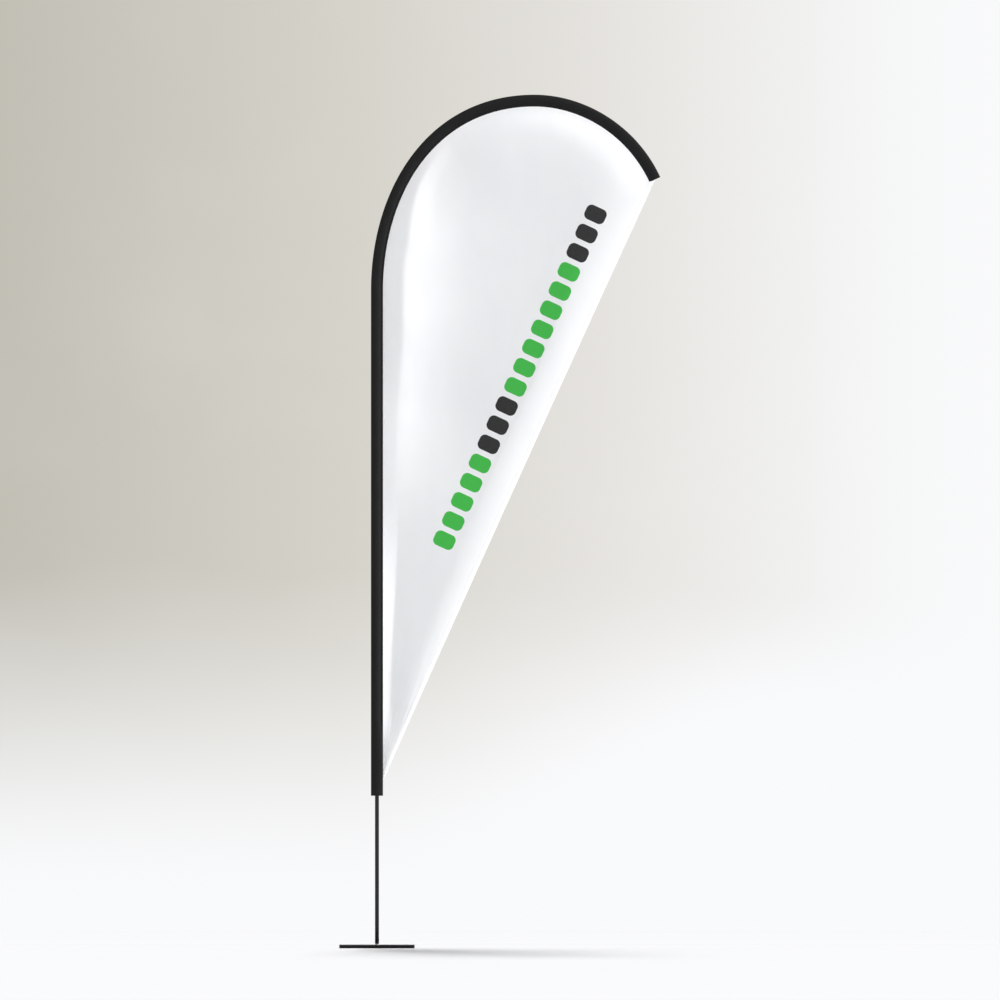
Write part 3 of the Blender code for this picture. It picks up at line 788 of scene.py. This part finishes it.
def makePanel(shape):
    corner, along, inward, length = trailingLine(shape)
    inEdge = shape["sleeveHalf"] - shape["underFlange"]
    start = np.array([inEdge, corner[1] - along[1] * (corner[0] - inEdge) / along[0]])
    s = np.linspace(poleBend["start"][1], poleLine["end"] - 0.0005, shape["columns"])
    place, way, side = onLine(s)
    ends = place + side * inEdge
    share = np.linspace(0, 1, shape["rows"] + 1)[1:, None]
    columns = [start + (end - start) * share for end in ends]
    columns.append(trailingPoint(shape, share[:, 0], 0.003))
    points = np.vstack([start[None], *columns])
    count, total = shape["rows"], len(points)
    height = panelHeight(points)
    half = shape["thickness"] / 2
    vertices, faces = [], []
    for layer, offset in enumerate((-half, half)):
        base = layer * total
        vertices.append(np.stack([points[:, 0], offset - height, points[:, 1]], 1))
        for c in range(len(columns) - 1):
            a, b = base + 1 + c * count, base + 1 + (c + 1) * count
            quads = [(base, a, b)] + [(a + r, a + r + 1, b + r + 1, b + r) for r in range(count - 1)]
            faces += quads if layer == 0 else [q[::-1] for q in quads]
    rim = [0] + [1 + r for r in range(count)] + [1 + c * count + count - 1 for c in range(1, len(columns))]
    rim += [1 + (len(columns) - 1) * count + r for r in range(count - 2, -1, -1)]
    faces += [(b, a, a + total, b + total) for a, b in zip(rim, rim[1:] + rim[:1])]
    piece = makePiece("flagPanel", np.vstack(vertices), faces, finishes["panel"], "mast")
    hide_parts("flag_panel")
    return piece


flagPanel = makePanel(panelShape)
print("panel made")


# Hem: the free edge turned over and stitched down

hemShape = {
    "width": 0.016,
    "half": 0.0006,  # half its thickness
    "clear": 0.00025,  # how far its faces stand off the panel's
    "quilt": (0.22, 0.021),  # swelling between the stitches as a share, and its length
    "rows": 560,
    "stitchLines": (0.0035, 0.0130),  # distances in from the fold
    "stitch": (0.0025, 0.0034, 0.00026),  # length, pitch, radius
}


def quiltOf(run, hem):
    share, length = hem["quilt"]
    return 1 + share * ripple(run, length, 6)


def makeHem(shape, hem):
    t = np.linspace(0.0, 1.0, hem["rows"])
    half = hem["half"]
    width = hem["width"]
    # its section from the inner edge to the fold, as distances from the fold and half thicknesses
    profile = [(width, 0.0002), (width - 0.0006, half * 0.6), (width - 0.0020, half * 0.92),
               (width * 0.5, half), (0.0035, half * 0.9), (0.0016, half),
               (0.0007, half * 0.85), (0.0002, half * 0.5), (0.0, 0.0)]
    loop = [(e, -1, y) for e, y in profile] + [(e, 1, y) for e, y in profile[-2::-1]]
    columns = len(loop)
    rings = np.zeros((hem["rows"], columns, 3))
    quilt = quiltOf(t * shape["freeLength"], hem)
    for k, (e, face, y) in enumerate(loop):
        points = trailingPoint(shape, t, e)
        rings[:, k, 0], rings[:, k, 2] = points[:, 0], points[:, 1]
        clear = y * quilt + hem["clear"] if 0 < k < columns - 1 and y > 0 else y
        rings[:, k, 1] = face * clear - panelHeight(points)
    vertices = rings.reshape(-1, 3)
    faces = loftFaces(hem["rows"], columns)
    faces.append(list(range(columns))[::-1])
    faces.append([(hem["rows"] - 1) * columns + c for c in range(columns)])
    piece = makePiece("trailingHem", vertices, faces, finishes["hem"], "mast")
    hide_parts("trailing_hem")

    length, pitch, radius = hem["stitch"]
    run = np.arange(0.012, 2.612, pitch)
    places, ways, outs = [], [], []
    for e in hem["stitchLines"]:
        points = trailingPoint(shape, run / 2.624, e)
        height = panelHeight(points)
        way = np.gradient(np.stack([points[:, 0], -height, points[:, 1]], 1), axis=0)
        for face in (-1, 1):
            lift = face * (half * 1.05 * quiltOf(run, hem) + 0.00022)
            places.append(np.stack([points[:, 0], lift - height, points[:, 1]], 1))
            ways.append(way)
            outs.append(np.tile([0.0, face, 0.0], (len(run), 1)))
    vertices, faces = stitchMesh(np.vstack(places), np.vstack(ways), np.vstack(outs), length, radius)
    stitches = makePiece("hemStitches", vertices, faces, finishes["whiteThread"], "mast")
    return piece, stitches


trailingHem, hemStitches = makeHem(panelShape, hemShape)
print("hem made")


# Sleeve: a tube round the pole with a flat sewn seam along the flag

sleeveShape = {
    "mouth": 0.606,
    "half": 0.024,
    # half its depth at distances along it
    "depths": ((0.606, 0.0130), (0.70, 0.0126), (0.82, 0.0110), (1.25, 0.0110), (2.25, 0.0095),
               (3.3, 0.0080), (4.4, 0.0070)),
    "seam": 0.010,  # width of the flat seam
    "seamHalf": 0.0009,
    "cloth": 0.00045,
    "mouthHem": 0.018,
    "pucker": (0.00045, 0.038, 0.006),  # by the seam: height, length, reach
    "slack": (0.00035, 0.13),  # drag lines: height, length
    "turned": 0.00045,  # extra cloth at the mouth
    "around": 24,
    "step": 0.008,
    "stitchLines": (0.0165, 0.0215),
    "mouthStitches": 15,  # on each side
    "stitch": (0.0025, 0.0034, 0.00028),
}


def sleeveHeight(s, u, shape):
    # half the sleeve's depth at distances s along it and u across it, row by row
    deep = np.interp(s, *zip(*shape["depths"]))[:, None] - 0.0004
    half, seam = shape["half"], shape["half"] - shape["seam"]
    lens = smooth(s, 0.77, 0.92)[:, None]
    middle = lens * (seam - half) / 2
    reach = (half + seam) / 2 * lens + half * (1 - lens)
    across = np.clip((u - middle) / reach, -1, 1)
    body = (deep - shape["seamHalf"]) * np.sqrt(1 - across**2)
    edges = np.sqrt(np.clip(1 - (np.clip(np.abs(u) / half, 0, 1))**26, 0, 1))
    height = body + shape["seamHalf"] * edges
    # puckers by the seam, faint drag lines, and the doubled cloth at the mouth
    rise, length, spanned = shape["pucker"]
    pucker = rise * ripple(s, length, 5)[:, None] * np.exp(-np.abs(u - seam) / spanned) * lens
    rise, length = shape["slack"]
    slack = rise * ripple(s[:, None] + u * 1.5, length, 8) * (1 - np.abs(across)) * smooth(body, 0, 0.004)
    hemTop = shape["mouth"] + shape["mouthHem"]
    turned = shape["turned"] * (1 - smooth(s, hemTop - 0.0012, hemTop))[:, None]
    height = height + (pucker + slack) * edges + turned * edges
    ending = np.clip((poleLine["end"] - s) / 0.004, 0, 1)[:, None]
    return np.maximum(height * (0.10 + 0.90 * np.sqrt(1 - (1 - ending)**2)), 0)


def makeSleeve(shape):
    mouth, hemTop = shape["mouth"], shape["mouth"] + shape["mouthHem"]
    s = np.arange(hemTop, poleLine["end"] - 0.006, shape["step"])
    mouthRows = [mouth, mouth + 0.0006, mouth + 0.004, mouth + 0.009]
    hemRows = [hemTop - 0.004, hemTop - 0.0012, hemTop - 0.0006]
    endRows = poleLine["end"] - np.array([0.0045, 0.003, 0.0018, 0.0009, 0.0003, 0.0])
    s = np.concatenate([mouthRows, hemRows, s, endRows])
    place, way, side = onLine(s)
    around, half = shape["around"], shape["half"]
    t = np.linspace(0, math.pi, around + 1)
    u = -np.cos(t) * half
    layers, marks = [], []
    for inset in (0.0, shape["cloth"]):
        across = u * (half - inset) / half
        height = sleeveHeight(s, u[None] + 0 * s[:, None], shape)
        height = np.maximum(height - inset, 0)
        columns = [(k, -1) for k in range(around + 1)] + [(k, 1) for k in range(around - 1, 0, -1)]
        ring = np.zeros((len(s), len(columns), 3))
        mark = np.zeros_like(ring)
        for c, (k, face) in enumerate(columns):
            ring[:, c, 0] = place[:, 0] + side[:, 0] * across[k]
            ring[:, c, 1] = face * height[:, k]
            ring[:, c, 2] = place[:, 1] + side[:, 1] * across[k]
            mark[:, c, 0] = t[k] / math.pi * 0.05
            mark[:, c, 1] = s
        layers.append(ring)
        marks.append(mark)
    inner = layers[1][:-3]  # the lining stops short of the closed end
    columns = layers[0].shape[1]
    outerCount = len(s) * columns
    vertices = np.vstack([layers[0].reshape(-1, 3), inner.reshape(-1, 3)])
    points = np.vstack([marks[0].reshape(-1, 3), marks[1][:-3].reshape(-1, 3)])
    faces = loftFaces(len(s), columns)
    faces += [[outerCount + i for i in f[::-1]] for f in loftFaces(len(inner), columns)]
    for c in range(columns):
        n = (c + 1) % columns
        faces.append([n, c, outerCount + c, outerCount + n])
    faces.append([(len(s) - 1) * columns + c for c in range(columns)])
    faces.append([outerCount + (len(inner) - 1) * columns + c for c in range(columns)][::-1])
    piece = makePiece("poleSleeve", vertices, faces, finishes["sleeve"], "mast", points)
    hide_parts("pole_sleeve")

    length, pitch, radius = shape["stitch"]
    places, ways, outs = [], [], []
    run = np.arange(0.93, poleLine["end"] - 0.004, pitch)
    place, way, side = onLine(run)
    for across in shape["stitchLines"]:
        lift = sleeveHeight(run, np.full((len(run), 1), across), shape)[:, 0] + radius * 0.55
        for face in (-1, 1):
            x, z = (place + side * across).T
            places.append(np.stack([x, face * lift, z], 1))
            ways.append(np.stack([way[:, 0], np.gradient(face * lift) / pitch, way[:, 1]], 1))
            outs.append(np.tile([0.0, face, 0.0], (len(run), 1)))
    count = shape["mouthStitches"]  # one row round the mouth's hem
    across = np.linspace(0.0012 - half, half - 0.0012, count)
    level, none = np.full(count, hemTop - 0.004), np.zeros(count)
    lift = sleeveHeight(level, across[:, None], shape)[:, 0]
    slope = np.gradient(lift, across)
    for face in (-1, 1):
        places.append(np.stack([across, face * (lift + radius * 0.5), level], 1))
        ways.append(np.stack([none + 1, face * slope, none], 1))
        outs.append(np.stack([-slope, none + face, none], 1))
    vertices, faces = stitchMesh(np.vstack(places), np.vstack(ways), np.vstack(outs), length, radius)
    stitches = makePiece("sleeveStitches", vertices, faces, finishes["blackThread"], "mast")
    return piece, stitches


poleSleeve, sleeveStitches = makeSleeve(sleeveShape)
print("sleeve made")


# Floor, backdrop and light

stageLook = {
    "floor": (0.133, 0.134, 0.135),
    "sun": 4.81,  # each of the row of lamps over the floor
    "sunTilts": (0.10, 0.35, 0.60, 0.90, 1.20),
    "world": 0.87,
    "key": 3.9,
    "keyFrom": (8.8, -0.75, 4.7),
    "fill": 120.0,
}
# painted wall light: the glowing wall darker and warmer to the left and brighter to the right, standing in
# for studio light falling across it
paintedWallLight = ((-1.5, (0.76, 0.75, 0.71)), (-0.1, (0.835, 0.825, 0.79)), (0.9, (0.90, 0.89, 0.875)),
             (2.1, (0.965, 0.97, 0.97)), (2.4, (0.975, 0.977, 0.98)))  # across the wall, left to right


def linear(tone):
    return [((c + 0.055) / 1.055)**2.4 for c in tone]


def makeStage(look):
    # paper sweep: a floor that turns up into a wall far behind; from about 1.2 m back it blends from lit
    # paper into a glow of painted light, all glow beyond 6 m
    profile = [(-60.0, 0.0), (9.0, 0.0)]
    for i in range(1, 17):
        turn = math.pi / 32 * i
        profile.append((9 + 5 * math.sin(turn), 5 - 5 * math.cos(turn)))
    mesh = bpy.data.meshes.new("sweep")
    mesh.from_pydata([(x, y, z) for y, z in profile for x in (-60, 60)], [],
                     [(2 * i, 2 * i + 1, 2 * i + 3, 2 * i + 2) for i in range(len(profile) - 1)])
    mesh.shade_smooth()
    sweep = bpy.data.objects.new("sweep", mesh)
    sweep.location.z = -0.0002
    scene.collection.objects.link(sweep)
    finish = bpy.data.materials.new("paperFloorPaintedWall")
    finish.use_nodes = True
    tree = finish.node_tree
    tree.nodes.clear()
    parts = addNode(tree, "SeparateXYZ", {"Vector": addNode(tree, "TexCoord").outputs["Object"]})
    x0, x1 = paintedWallLight[0][0], paintedWallLight[-1][0]
    ramp = addNode(tree, "ValToRGB", {"Fac": spread(tree, parts.outputs[0], x0, x1)})
    stops = ramp.color_ramp.elements
    while len(stops) < len(paintedWallLight):
        stops.new(0.5)
    for stop, (x, tone) in zip(stops, paintedWallLight):
        stop.position = (x - x0) / (x1 - x0)
    for stop, (x, tone) in zip(stops, paintedWallLight):
        stop.color = (*linear(tone), 1)
    # painted light up the wall: near white low down and the wall's tones higher up, the change starting
    # higher towards the right, with a slow uneven cloud in it
    right = spread(tree, parts.outputs[0], -0.2, 1.7, soft=True)
    low = calc(tree, "MULTIPLY_ADD", right, 0.75, 0.07)
    high = calc(tree, "MULTIPLY_ADD", right, -0.16, 1.51)
    climb = spread(tree, parts.outputs[2], low, high, soft=True)
    cloudy = noiseOf(tree, ownPlace(tree, (1, 1, 0.8)), 0.9, 3.0, 0.5)
    uneven = spread(tree, cloudy, 0.3, 0.7, -0.06, 0.06)
    climb = calc(tree, "MULTIPLY_ADD", uneven, climb, climb, clamp=True)
    colour = blendColours(tree, climb, linear((0.977, 0.98, 0.985)), ramp.outputs[0])
    glow = addNode(tree, "Emission", {"Color": colour})
    paper = addNode(tree, "BsdfDiffuse", {"Color": (*look["floor"], 1)})
    mixed = addNode(tree, "MixShader", {"Fac": spread(tree, parts.outputs[1], 1.2, 6.0, soft=True)})
    tree.links.new(paper.outputs[0], mixed.inputs[1])
    tree.links.new(glow.outputs[0], mixed.inputs[2])
    addNode(tree, "OutputMaterial", {"Surface": mixed.outputs[0]})
    mesh.materials.append(finish)
    sweep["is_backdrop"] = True
    return sweep


def addLight(name, kind, place, target, power, size, onlyOn, shadows=True):
    light = bpy.data.lights.new(name, kind)
    light.energy = power
    if kind == "SUN":
        light.angle = math.radians(size)
    else:
        light.size = size
    lamp = bpy.data.objects.new(name, light)
    lamp.location = place
    lamp.rotation_euler = (Vector(target) - Vector(place)).to_track_quat("-Z", "Y").to_euler()
    scene.collection.objects.link(lamp)
    lamp.light_linking.receiver_collection = onlyOn
    light.use_shadow = shadows


def makeLights(look, sweep):
    onStage, onFlag = bpy.data.collections.new("onStage"), bpy.data.collections.new("onFlag")
    onStage.objects.link(sweep)
    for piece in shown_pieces():
        onFlag.objects.link(piece)
    for number, tilt in enumerate(look["sunTilts"]):
        addLight(f"floorSun{number}", "SUN", (0, 10 * tilt, 10), (0, 0, 0), look["sun"], 11.0, onStage)
    addLight("sideKey", "SUN", look["keyFrom"], (0, 0, 0), look["key"], 16.0, onFlag, shadows=False)
    addLight("backFill", "AREA", (-4.0, 6.0, 4.0), (0.5, 0.0, 2.0), look["fill"], 3.0, onFlag)
    world = bpy.data.worlds.new("studio")
    world.use_nodes = True
    world.node_tree.nodes["Background"].inputs["Color"].default_value = (0.985, 0.99, 1.0, 1)
    world.node_tree.nodes["Background"].inputs["Strength"].default_value = look["world"]
    scene.world = world
    scene.view_settings.view_transform = "Standard"


sweep = makeStage(stageLook)
makeLights(stageLook, sweep)
print("stage and lights made")
